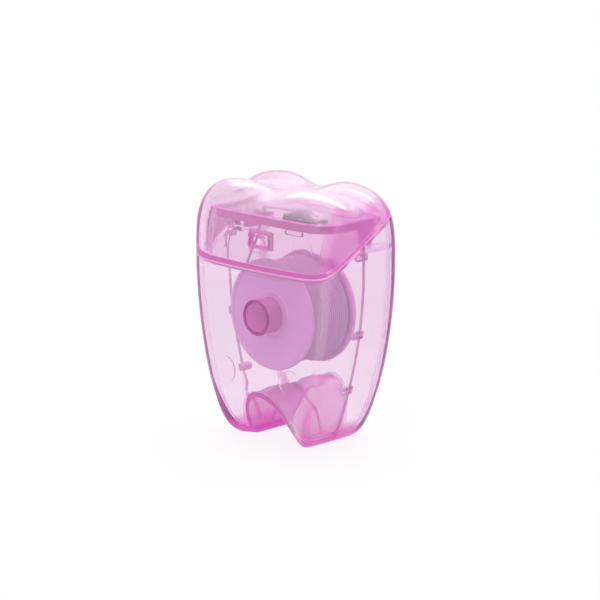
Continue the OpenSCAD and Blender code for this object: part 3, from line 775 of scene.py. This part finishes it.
# Floss
def package():
    """The wound floss under the outer turns, ridged by its own turns."""
    steps, rows, pitch, ridge_h = 144, 144, 0.52, 0.14
    inner = BARREL_R + 0.02
    points, faces = [], []
    for k in range(steps):
        a = 2 * math.pi * k / steps
        for j in range(rows + 1):
            y = WOUND_Y0 + (WOUND_Y1 - WOUND_Y0) * j / rows
            ridge = abs(math.sin(math.pi * ((y - WOUND_Y0) / pitch + k / steps)))
            points.append(about("Y", HUB, PACKAGE_R - ridge_h * (1 - ridge), a, y))
        points += [about("Y", HUB, inner, a, WOUND_Y1), about("Y", HUB, inner, a, WOUND_Y0)]
    n = rows + 3
    for k in range(steps):
        a0, a1 = k * n, (k + 1) % steps * n
        faces += [(a0 + i, a0 + (i + 1) % n, a1 + (i + 1) % n, a1 + i) for i in range(n)]
    return tidy_normals(solid("package", points, faces))


def tube(path, radius, sides, twist=0.0):
    """A round thread along a path, its sides turned a little from one point to the next."""
    path = [Vector(p) for p in path]
    points, faces = [], []
    for i, p in enumerate(path):
        ahead = (path[min(i + 1, len(path) - 1)] - path[max(i - 1, 0)]).normalized()
        side = ahead.cross(Vector((0, 1, 0))).normalized()
        up = side.cross(ahead)
        for k in range(sides):
            a = 2 * math.pi * k / sides + twist * i
            points.append(p + radius * (math.cos(a) * side + math.sin(a) * up))
    n = sides
    for i in range(len(path) - 1):
        a, b = i * n, (i + 1) * n
        faces += [(a + k, a + (k + 1) % n, b + (k + 1) % n, b + k) for k in range(n)]
    faces += [tuple(range(n)), tuple((len(path) - 1) * n + k for k in reversed(range(n)))]
    return tidy_normals(solid("tube", points, faces))


def outer_turns():
    """The outermost layer: one thread that winds round the package with a slight wander."""
    turns, steps, margin, first = 17, 64, 0.1, math.radians(156)
    window = 40
    span = WOUND_Y1 - WOUND_Y0 - FLOSS_D - 2 * margin
    rng = np.random.default_rng(7)
    wander = np.convolve(rng.normal(0, 0.10, turns * steps + window), np.ones(window) / window, "same")
    path = []
    for i in range(turns * steps + 1):
        y = WOUND_Y0 + FLOSS_D / 2 + margin + span * i / (turns * steps) + wander[i]
        path.append(about("Y", HUB, PACKAGE_R + FLOSS_D / 2 + 0.03, first - 2 * math.pi * i / steps, y))
    return tube(path, FLOSS_D / 2 - 0.01, 10)


# Route of the free floss as in part.scad: up from the package, through the outlet and on to the cutter
ROUTE = [(-9.7 + 0.9 * i, -4, 28.2 + 11.8 / 6 * i) for i in range(6)] + [
    (-4.3, -4, 40), (-3.7, -4, 41.2), (-3.5, -4, 42.2), (-3.5, -4, 43.2), (-3.2, -4, 43.9),
    (-2.4, -4, 44.3), (-1, -4, 44.4), (0.6, -3.9, 44.3), (2.2, -3.8, 44.2), (3.8, -3.7, 44.2),
    (5.2, -3.6, 44.3), (6.6, -3.6, 44.5), (7.8, -3.7, 44.4), (9, -3.9, 44.1), (10.2, -4.3, 43.8)]


def smooth_path(route, steps=8):
    """A smooth curve through every point of a route."""
    pts = [Vector(p) for p in [route[0]] + route + [route[-1]]]
    out = []
    for i in range(1, len(pts) - 2):
        p0, p1, p2, p3 = pts[i - 1:i + 3]
        for k in range(steps):
            s = k / steps
            out.append(0.5 * (2 * p1 + (p2 - p0) * s + (2 * p0 - 5 * p1 + 4 * p2 - p3) * s * s
                              + (3 * p1 - p0 - 3 * p2 + p3) * s ** 3))
    return out + [pts[-2]]


finish(package(), "floss_wound", FLOSS, "spool", "floss_package", 70)
finish(outer_turns(), "floss_turns", FLOSS, "spool", "floss_outer_turns", 70)
thread = tube(smooth_path(ROUTE), FLOSS_D / 2, 14, twist=0.08)
finish(thread, "floss_thread", FLOSS, "case", "floss_strand", 70)

# The cutter keeps its CAD shape
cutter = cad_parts["cutter"]
cutter.data.materials.clear()
cutter.data.materials.append(STEEL)


# Floor, light and camera
def seen_directly(graph):
    """1 for what the camera, a reflection or a look through the plastic sees, otherwise 0."""
    path = graph.add("LightPath", {})
    kinds = ("Is Camera Ray", "Is Glossy Ray", "Is Transmission Ray")
    return graph.most(*[path.outputs[kind] for kind in kinds])


def studio_world(level):
    """White all round to look at, and an even light of a level for the object."""
    world = bpy.data.worlds.new("studio")
    bpy.context.scene.world = world
    world.use_nodes = True
    graph = Graph(world.node_tree)
    light, shown = [graph.add("Background", {"Color": (1, 1, 1), "Strength": s}) for s in (level, 1)]
    surface = graph.blend(seen_directly(graph), light.outputs["Background"], shown.outputs["Background"])
    graph.add("OutputWorld", {"Surface": surface})


def floor():
    """A pale round floor that fades to white away from the object and keeps its shadow."""
    radius, sides, near_share, fade_from, fade_to = 1.6, 64, 0.78, 30, 120
    angles = np.linspace(0, 2 * math.pi, sides + 1)[:-1]
    ring = [(radius * math.cos(a), radius * math.sin(a), 0) for a in angles]
    ob = solid("floor", ring + [(0, 0, 0)], [(i, (i + 1) % sides, sides) for i in range(sides)])
    ob.location.z = -0.0001
    material, graph = new_material("pale_floor")
    pale = graph.add("BsdfDiffuse", {"Color": (0.93, 0.93, 0.93)})
    white = graph.add("Emission", {"Color": (1, 1, 1), "Strength": 1})
    share = graph.ramp(graph.away((1, 1, 1)), fade_from, fade_to, near_share, 1.0)
    whiteness = graph.both(share, seen_directly(graph))
    graph.add("OutputMaterial", {
        "Surface": graph.blend(whiteness, pale.outputs["BSDF"], white.outputs["Emission"])})
    ob.data.materials.append(material)


def looking_in(name, data, azimuth, elevation, distance):
    """Sets a lamp or a camera round the object, turned to its middle; azimuth 0 is the front."""
    ob = bpy.data.objects.new(name, data)
    bpy.context.scene.collection.objects.link(ob)
    a, e = math.radians(azimuth), math.radians(elevation)
    way = Vector((math.sin(a) * math.cos(e), -math.cos(a) * math.cos(e), math.sin(e)))
    middle = Vector((0, 0, 0.025))
    ob.location = middle + way * distance
    ob.rotation_euler = way.to_track_quat("Z", "Y").to_euler()
    return ob


def lamp(name, azimuth, elevation, distance, size, power):
    data = bpy.data.lights.new(name, "AREA")
    data.energy, data.size = power, size
    looking_in(name, data, azimuth, elevation, distance)


def camera():
    """The photo's camera, found by fitting the tooth's outline."""
    data = bpy.data.cameras.new("photo_camera")
    data.sensor_width = 36
    data.lens = 177.28
    data.shift_x, data.shift_y = 0.00861, 0.00762
    data.clip_start, data.clip_end = 0.01, 10
    azimuth, elevation, distance = 43.904, 13.088, 0.554257
    bpy.context.scene.camera = looking_in("photo_camera", data, azimuth, elevation, distance)


studio_world(0.65)
floor()
lamp("overhead", 215, 60, 0.7, 0.8, 3.1)
lamp("key", 0, 40, 0.6, 0.3, 0.7)
lamp("side", 115, 25, 0.6, 0.3, 0.4)
camera()
bpy.context.scene.view_settings.view_transform = "Standard"
# Light that runs along inside the clear walls bounces many times before it leaves them
cycles = bpy.context.scene.cycles
cycles.max_bounces = 40
cycles.glossy_bounces = 32
cycles.transmission_bounces = 32
